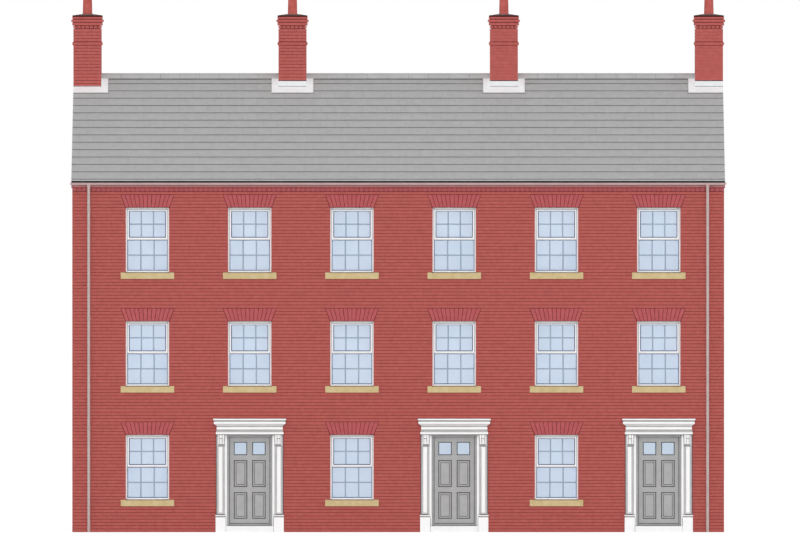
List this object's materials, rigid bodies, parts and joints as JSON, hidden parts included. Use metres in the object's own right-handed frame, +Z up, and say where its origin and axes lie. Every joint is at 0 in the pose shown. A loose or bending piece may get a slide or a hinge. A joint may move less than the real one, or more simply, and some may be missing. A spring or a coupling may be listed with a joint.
{
  "type": "terraced house row",
  "caption": "Terraced row of brick houses with sash windows under flat gauged arches, panelled front doors in white surrounds, a tiled pitched roof and brick chimneys.",
  "frame": {"origin": "on the ground at the middle of the plan", "axes": "+X along the row to the right as seen from the street, +Y from the street front to the rear, +Z up"},
  "size_m": [15.196, 8.665, 12.4],
  "materials": {
    "brick": "rough fired brick with narrow joints",
    "party_brick": "rough brick, unpainted",
    "arch_brick": "smooth rubbed brick",
    "chimney_brick": "rough fired brick",
    "sill_stone": "smooth sawn sandstone",
    "step_stone": "smooth pale stone",
    "white_paint": "white gloss paint on timber",
    "door_white": "white satin paint on timber",
    "door_grey": "grey satin paint on timber",
    "frame_grey": "grey satin paint on timber",
    "glass": "clear window glass",
    "hinge_metal": "satin",
    "roof_tile": "flat grey interlocking roof tile",
    "gutter_paint": "pale grey paint",
    "pipe_paint": "pale grey paint",
    "pot_clay": "unglazed terracotta",
    "lead": "pale weathered lead",
    "floor_boards": "plain sawn softwood boards",
    "concrete": "float finished concrete"
  },
  "bodies": {
    "house": {"front_wall_piers": "brick", "front_wall_bands": "brick", "rear_wall_piers": "brick", "rear_wall_bands": "brick", "end_walls": "brick", "party_walls": "party_brick", "ground_floor_slabs": "concrete", "first_floor_decks": "floor_boards", "second_floor_decks": "floor_boards", "loft_floors": "floor_boards", "window_arches": "arch_brick", "window_sills": "sill_stone", "window_frames": "white_paint", "upper_sashes": "white_paint", "lower_sashes": "white_paint", "window_glass": "glass", "door_jambs": "frame_grey", "door_heads": "frame_grey", "door_thresholds": "frame_grey", "door_steps": "step_stone", "frame_hinges": "hinge_metal", "door_pilasters": "door_white", "door_plinths": "door_white", "door_consoles": "door_white", "door_entablatures": "door_white", "eaves_courses": "brick", "front_roof_slope": "roof_tile", "rear_roof_slope": "roof_tile", "ridge_tiles": "roof_tile", "gutters": "gutter_paint", "downpipes": "pipe_paint", "pipe_brackets": "pipe_paint", "chimney_shafts": "chimney_brick", "chimney_string_courses": "chimney_brick", "chimney_necks": "chimney_brick", "chimney_caps": "chimney_brick", "chimney_pots": "pot_clay", "chimney_flashings": "lead"},
    "left_door": {"left_door_leaf": "door_grey", "left_door_glass": "glass", "left_door_hinges": "hinge_metal"},
    "middle_door": {"middle_door_leaf": "door_grey", "middle_door_glass": "glass", "middle_door_hinges": "hinge_metal"},
    "right_door": {"right_door_leaf": "door_grey", "right_door_glass": "glass", "right_door_hinges": "hinge_metal"}
  },
  "joints": [
    {"name": "left_door_hinge", "type": "hinge", "parent": "house", "child": "left_door", "pos_m": [-2.954, -3.9407, 1.2], "axis": [0, 0, -1], "range_deg": [0, 90]},
    {"name": "middle_door_hinge", "type": "hinge", "parent": "house", "child": "middle_door", "pos_m": [1.771, -3.9407, 1.2], "axis": [0, 0, -1], "range_deg": [0, 90]},
    {"name": "right_door_hinge", "type": "hinge", "parent": "house", "child": "right_door", "pos_m": [6.496, -3.9407, 1.2], "axis": [0, 0, -1], "range_deg": [0, 90]}
  ]
}
